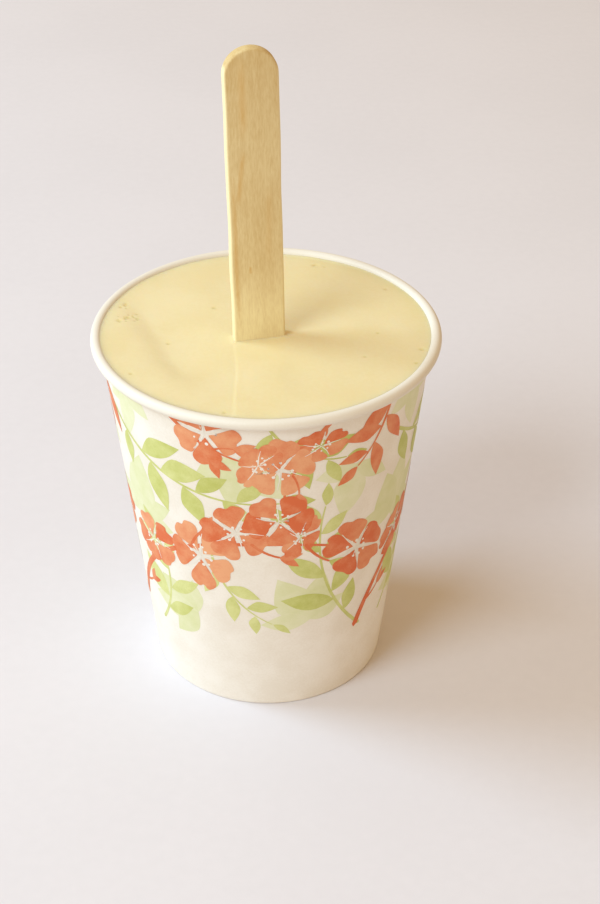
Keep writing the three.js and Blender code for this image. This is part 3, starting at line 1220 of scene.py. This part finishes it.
class MakePrint(bpy.types.Operator):
    """Prints the sprays on the wall, one thin film for each ink"""

    bl_idname = "gelato_cup.make_print"
    bl_label = "Print"

    def execute(self, context):
        look, cream = settings().print_look, settings().cup.light
        inks = {
            "pale": ink_material("pale_wash_ink", look.wash_deep, look.wash_pale),
            "green": ink_material("green_ink", look.green_deep, look.green_pale),
            "coral": ink_material("coral_ink", look.coral_deep, look.coral_pale),
            "cream": ink_material("cream_ink", [0.95 * c for c in cream], cream),
        }
        shapes = printed_sheet()
        walls = {anchor: WallMap(anchor) for anchor in {shape[3] for shape in shapes}}
        for ink, material in inks.items():
            whole = bmesh.new()
            laid = []
            for tone, outline, anchor in (shape[1:] for shape in shapes if shape[0] == ink):
                xs, ys = zip(*outline)
                left, right = (anchor + end / MIDDLE_RADIUS for end in (min(xs), max(xs)))
                low, high = min(ys), max(ys)
                under = [
                    n
                    for a, b, c, d, n in laid
                    if a < right and b > left and c < high and d > low
                ]
                layer = 1 + max(under, default=-1)
                laid.append((left, right, low, high, layer))
                proud = (INK_PROUD[ink] + INK_STEP * layer) * MM
                part = film(outline, tone, walls[anchor], look.top, proud)
                if part is not None:
                    whole.from_mesh(part)
                    bpy.data.meshes.remove(part)
            if not whole.faces:
                raise RuntimeError(f"no shape was printed in {ink}")
            finished(whole, f"print_{ink}", [material])
        return {"FINISHED"}


# --- Gelato -----------------------------------------------------------------------------------


def valley_share(x, y):
    """How deep the valley is here, from 0 to 1: steep on its left and gentle on its right."""
    nearest = None
    for start, end in zip(VALLEY, VALLEY[1:]):
        run = (end[0] - start[0], end[1] - start[1])
        share = ((x - start[0]) * run[0] + (y - start[1]) * run[1]) / (run[0] ** 2 + run[1] ** 2)
        share = min(1.0, max(0.0, share))
        off = (x - start[0] - share * run[0], y - start[1] - share * run[1])
        away = math.hypot(*off)
        if nearest is None or away < nearest[0]:
            nearest = (away, (off[1] * run[0] - off[0] * run[1]) / math.hypot(*run))
    away, right = nearest
    side = 0.5 + 0.5 * right / away if away > 0 else 0.5
    return math.exp(-((away / (VALLEY_LEFT + (VALLEY_RIGHT - VALLEY_LEFT) * side)) ** 2))


def stick_centre(z):
    """The stick's centre line at height z."""
    x, y, height = STICK_AT
    return x - settings().stick.lean * (z - height), y


def stick_distance(x, y):
    """Distance from a point of the surface to the stick's side."""
    stick = settings().stick
    centre = stick_centre(settings().gelato.level)
    c, s = math.cos(stick.turned), math.sin(stick.turned)
    dx, dy = x - centre[0], y - centre[1]
    across = max(0.0, abs(dx * c + dy * s) - stick.width / 2)
    through = max(0.0, abs(-dx * s + dy * c) - stick.thickness / 2)
    return math.hypot(across, through)


def burst_bubbles():
    """The small holes: the single ones, and a patch near the left edge. Place and radius in mm."""
    dice = random.Random(FROTH_SEED)
    spots = list(PITS)
    for _ in range(FROTH_COUNT):
        angle, reach = dice.uniform(0, 2 * math.pi), math.sqrt(dice.random())
        x = FROTH_CENTRE[0] + FROTH_REACH[0] * reach * math.cos(angle)
        y = FROTH_CENTRE[1] + FROTH_REACH[1] * reach * math.sin(angle)
        spots.append((x, y, dice.choice(FROTH_SIZES)))
    return spots


def sunk_share(x, y):
    """How far the surface has sunk beside the rim here, from 0 to 1."""
    side = max(0.0, math.cos(math.atan2(y, x) - math.radians(SINK_AT))) ** 2
    return side * math.exp((math.hypot(x, y) - roll_centre()[0]) / (SINK_REACH * MM))


def surface_level(x, y):
    """Height of the open surface: a slope, a slight dome, three hollows and low waves."""
    look = settings().gelato
    edge = roll_centre()[0]
    mx, my = x / MM, y / MM
    z = look.level - (look.rise_left * x + look.rise_front * y) / edge
    z += look.dome * (1 - min(1.0, (x * x + y * y) / edge**2))
    z -= VALLEY_DEPTH * MM * valley_share(mx, my)
    away = math.hypot(mx - DIP_CENTRE[0], my - DIP_CENTRE[1])
    z -= DIP_DEPTH * MM * math.exp(-((away / DIP_RADIUS) ** 2))
    z -= SINK_DEPTH * MM * sunk_share(x, y)
    for height, span, slice_at in WAVES:
        z += height * MM * noise.noise((mx / span, my / span, slice_at))
    return z


def rim_contact(angle):
    """Where the surface meets the rolled rim: the place on the roll in degrees, and the radius."""
    cup, centre = settings().cup, roll_centre()
    edge = wall_radius(centre[1], cup.paper)
    height = surface_level(edge * math.cos(angle), edge * math.sin(angle))
    contact = math.pi - math.asin((height - centre[1]) / cup.roll_radius)
    return math.degrees(contact), centre[0] + cup.roll_radius * math.cos(contact)


def gelato_height(x, y):
    """The open surface where it climbs the rim and the stick."""
    rim = rim_contact(math.atan2(y, x))[1] - math.hypot(x, y)
    z = surface_level(x, y)
    z -= RIM_CLIMB * MM * (1 - math.exp(-max(0.0, rim) / (RIM_CLIMB_WIDTH * MM)))
    return z + STICK_CLIMB * MM * math.exp(-stick_distance(x, y) / (STICK_CLIMB_WIDTH * MM))


def pit_at(x, y, spots):
    """How deep the small holes are here, and how much painted shade darkens them, from 0 to 1."""
    depth = tint = 0.0
    for px, py, radius in spots:
        away = math.hypot(x / MM - px, y / MM - py) / radius
        if away < PIT_REACH:
            depth += PIT_DEPTH * radius * MM * math.exp(-((away / PIT_WIDTH) ** 2))
            tint = max(tint, math.exp(-((away / PIT_SHADE_WIDTH) ** 2)))
    return depth, tint


class MakeGelato(bpy.types.Operator):
    """Fills the cup with frozen gelato, up to the rolled rim and round the stick"""

    bl_idname = "gelato_cup.make_gelato"
    bl_label = "Gelato"

    def execute(self, context):
        cup, look = settings().cup, settings().gelato
        floor = cup.disc_top + cup.clearance
        inside = cup.paper + cup.clearance / 2
        start = 180 - math.degrees(wall_lean())
        centre = roll_centre()
        profile = [(0.0, floor), (wall_radius(floor, inside) - cup.disc_bend, floor)]
        levels = (floor + cup.disc_bend / 2, *GELATO_LEVELS)
        profile += [(wall_radius(z, inside), z) for z in levels]
        first_roll = len(profile)
        profile += arc(centre, cup.roll_radius, start, CONTACT_GUESS, CLIMB_STEPS)
        first_top = len(profile)
        radius = outside = profile[-1][0]
        while radius > RING_INNER:
            radius -= RING_OUTER if radius > RING_CHANGE else RING_INNER
            profile.append((max(radius, 0.0), look.level))
        profile[-1] = (0.0, look.level)
        bm, row = spun(profile, GELATO_STEPS, closed=False)
        for vert in bm.verts:
            i = vert[row]
            if i < first_roll:
                continue
            angle = math.atan2(vert.co.y, vert.co.x)
            contact, edge = rim_contact(angle)
            if i < first_top:
                on_roll = arc(centre, cup.roll_radius, start, contact, CLIMB_STEPS)
                r, z = on_roll[i - first_roll]
            else:
                r, z = profile[i][0] / outside * edge, look.level
            vert.co = (r * math.cos(angle), r * math.sin(angle), z)
        spots = burst_bubbles()
        fine = [(x, y, FINE_REACH * radius + FINE_MARGIN) for x, y, radius in spots]
        near = set()
        for vert in bm.verts:
            x, y = vert.co.x / MM, vert.co.y / MM
            on_top = vert[row] >= first_top
            if on_top and any(math.hypot(x - a, y - b) < reach for a, b, reach in fine):
                near.add(vert)
        edges = [edge for edge in bm.edges if near.issuperset(edge.verts)]
        bmesh.ops.subdivide_edges(bm, edges=edges, cuts=2, use_grid_fill=True)
        # Painted shade in the holes and on the sunk side, for the material.
        shade_layer = bm.verts.layers.float.new("painted_shade")
        for vert in bm.verts:
            if vert[row] >= first_top:
                depth, tint = pit_at(vert.co.x, vert.co.y, spots)
                vert[shade_layer] = max(tint, min(1.0, SINK_SHADE * sunk_share(vert.co.x, vert.co.y)))
                vert.co.z = gelato_height(vert.co.x, vert.co.y) - depth
        bmesh.ops.triangulate(bm, faces=[face for face in bm.faces if len(face.verts) > 4])
        piece = finished(bm, "gelato_fill", [gelato_material()], 60.0)
        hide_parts("gelato")
        return {"FINISHED"}


# --- Stick ------------------------------------------------------------------------------------


class MakeStick(bpy.types.Operator):
    """Stamps the flat wooden stick, eases its edges and stands it in the gelato"""

    bl_idname = "gelato_cup.make_stick"
    bl_label = "Stick"

    def execute(self, context):
        look = settings().stick
        half = look.width / 2
        reach = look.length / 2 - half
        bm = bmesh.new()
        for sign in (1, -1):
            vert = bm.verts.new((sign * half, -look.thickness / 2, sign * reach))
            bmesh.ops.spin(
                bm,
                geom=[vert],
                cent=(0, 0, sign * reach),
                axis=(0, -1, 0),
                angle=math.pi,
                steps=STICK_END_STEPS,
            )
        for sign in (1, -1):
            bm.edges.new([v for v in bm.verts if abs(v.co.x - sign * half) < 1e-6])
        bmesh.ops.edgeloop_fill(bm, edges=bm.edges[:])
        grown = bmesh.ops.extrude_face_region(bm, geom=bm.faces[:])["geom"]
        moved = [item for item in grown if isinstance(item, bmesh.types.BMVert)]
        bmesh.ops.translate(bm, verts=moved, vec=(0, look.thickness, 0))
        bmesh.ops.recalc_face_normals(bm, faces=bm.faces)
        outline = [e for e in bm.edges if abs(e.verts[0].co.y - e.verts[1].co.y) < 1e-7]
        bmesh.ops.bevel(
            bm,
            geom=outline,
            offset=look.edge,
            segments=4,
            profile=0.5,
            affect="EDGES",
            material=-1,
        )
        for i in range(1, STICK_CUTS):
            cut_flat(bm, (0, 0, reach * (2 * i / STICK_CUTS - 1)), (0, 0, 1))
        grain_at = bm.verts.layers.float_vector.new("grain_at")
        for vert in bm.verts:
            vert[grain_at] = vert.co
            x, along = vert.co.x, vert.co.z / MM
            # Each side and the faces read a line of the noise of their own.
            waver = noise.noise((3.0 if x > 0 else -3.0, 0.5, along / SIDE_WAVER[1]))
            vert.co.x += SIDE_WAVER[0] * MM * waver * min(1, abs(x) / half)
            waver = noise.noise((9.0, 0.5, along / FACE_WAVER[1]))
            vert.co.y += FACE_WAVER[0] * MM * waver
        middle = look.top - look.length / 2
        bm.transform(
            Matrix.Translation((*stick_centre(middle), middle))
            @ Matrix.Rotation(-math.atan(look.lean), 4, "Y")
            @ Matrix.Rotation(look.turned, 4, "Z")
        )
        above = max(v.co.z for v in bm.verts) - look.top
        bmesh.ops.translate(bm, verts=bm.verts, vec=(0, 0, -above))
        piece = finished(bm, "wooden_stick", [wood_material()], 50.0)
        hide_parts("stick")
        return {"FINISHED"}


# --- Stage ------------------------------------------------------------------------------------


def soft_light(name, power, place, tint):
    """A round soft light that looks at the cup. Its azimuth is from the right-hand side."""
    azimuth, rise, distance, size = place
    light = bpy.data.lights.new(name, "AREA")
    light.shape = "DISK"
    light.energy, light.size, light.color = power, size, tint
    lamp = bpy.data.objects.new(name, light)
    a, e = math.radians(azimuth), math.radians(rise)
    away = Vector((math.cos(a) * math.cos(e), math.sin(a) * math.cos(e), math.sin(e)))
    turned = away.to_track_quat("Z", "Y").to_matrix().to_4x4()
    lamp.matrix_world = Matrix.Translation(Vector((0, 0, LIT_HEIGHT)) + away * distance) @ turned
    bpy.context.scene.collection.objects.link(lamp)


class MakeStage(bpy.types.Operator):
    """Sets the pale floor, the soft light and the camera"""

    bl_idname = "gelato_cup.make_stage"
    bl_label = "Stage"

    def execute(self, context):
        scene, look = context.scene, settings().stage
        bm = bmesh.new()
        bmesh.ops.create_circle(bm, cap_ends=True, segments=96, radius=FLOOR_RADIUS)
        mesh = bpy.data.meshes.new("floor")
        bm.to_mesh(mesh)
        bm.free()
        mesh.materials.append(floor_material())
        floor = bpy.data.objects.new("floor", mesh)
        scene.collection.objects.link(floor)

        soft_light("key_light", look.key, KEY_PLACE, look.key_tint)
        soft_light("side_light", look.side, SIDE_PLACE, look.side_tint)
        world = bpy.data.worlds.new("studio")
        world.use_nodes = True
        tree, sky = world.node_tree, world.node_tree.nodes["Background"]
        seen = node(tree, "ShaderNodeLightPath").outputs["Is Camera Ray"]
        tint = blend(tree, seen, opaque(look.sky_tint), opaque(look.backdrop))
        tree.links.new(tint, sky.inputs["Color"])
        tree.links.new(ramp(tree, seen, 0.0, 1.0, look.sky, 1.0), sky.inputs["Strength"])
        scene.world = world

        camera = bpy.data.cameras.new("camera")
        camera.sensor_fit = "VERTICAL"
        camera.sensor_height = 36.0
        camera.lens = look.lens
        camera.clip_start = 0.01
        holder = bpy.data.objects.new("camera", camera)
        rise, distance = look.camera_rise, look.camera_distance
        height = look.aim_height + distance * math.sin(rise)
        holder.matrix_world = (
            Matrix.Translation((0.0, -distance * math.cos(rise), height))
            @ Matrix.Rotation(-look.camera_turn, 4, "Z")
            @ Matrix.Rotation(math.pi / 2 - rise, 4, "X")
            @ Matrix.Rotation(look.camera_roll, 4, "Z")
        )
        scene.collection.objects.link(holder)
        scene.camera = holder
        scene.view_settings.view_transform = "Standard"
        return {"FINISHED"}


# --- Panel and start --------------------------------------------------------------------------


OPERATORS = (MakeCupWall, MakeCupBottom, MakePrint, MakeGelato, MakeStick, MakeStage)
GROUPS = (CupSizes, PrintLook, GelatoLook, StickLook, StageLook, GelatoCupSettings)


class GelatoCupPanel(bpy.types.Panel):
    """Lists the steps and their values"""

    bl_idname = "VIEW3D_PT_gelato_cup"
    bl_label = "Gelato Cup"
    bl_space_type = "VIEW_3D"
    bl_region_type = "UI"
    bl_category = "Gelato Cup"

    def draw(self, context):
        layout = self.layout
        for operator in OPERATORS:
            layout.operator(operator.bl_idname)
        chosen = context.scene.gelato_cup
        for part in ("cup", "print_look", "gelato", "stick", "stage"):
            box = layout.box()
            values = getattr(chosen, part)
            for name in values.__annotations__:
                box.prop(values, name)


def register():
    for item in (*GROUPS, *OPERATORS, GelatoCupPanel):
        bpy.utils.register_class(item)
    bpy.types.Scene.gelato_cup = bpy.props.PointerProperty(type=GelatoCupSettings)


def unregister():
    del bpy.types.Scene.gelato_cup
    for item in reversed((*GROUPS, *OPERATORS, GelatoCupPanel)):
        bpy.utils.unregister_class(item)


def main():
    register()
    bpy.ops.gelato_cup.make_wall()
    bpy.ops.gelato_cup.make_bottom()
    bpy.ops.gelato_cup.make_print()
    bpy.ops.gelato_cup.make_gelato()
    bpy.ops.gelato_cup.make_stick()
    bpy.ops.gelato_cup.make_stage()


if __name__ == "__main__":
    main()
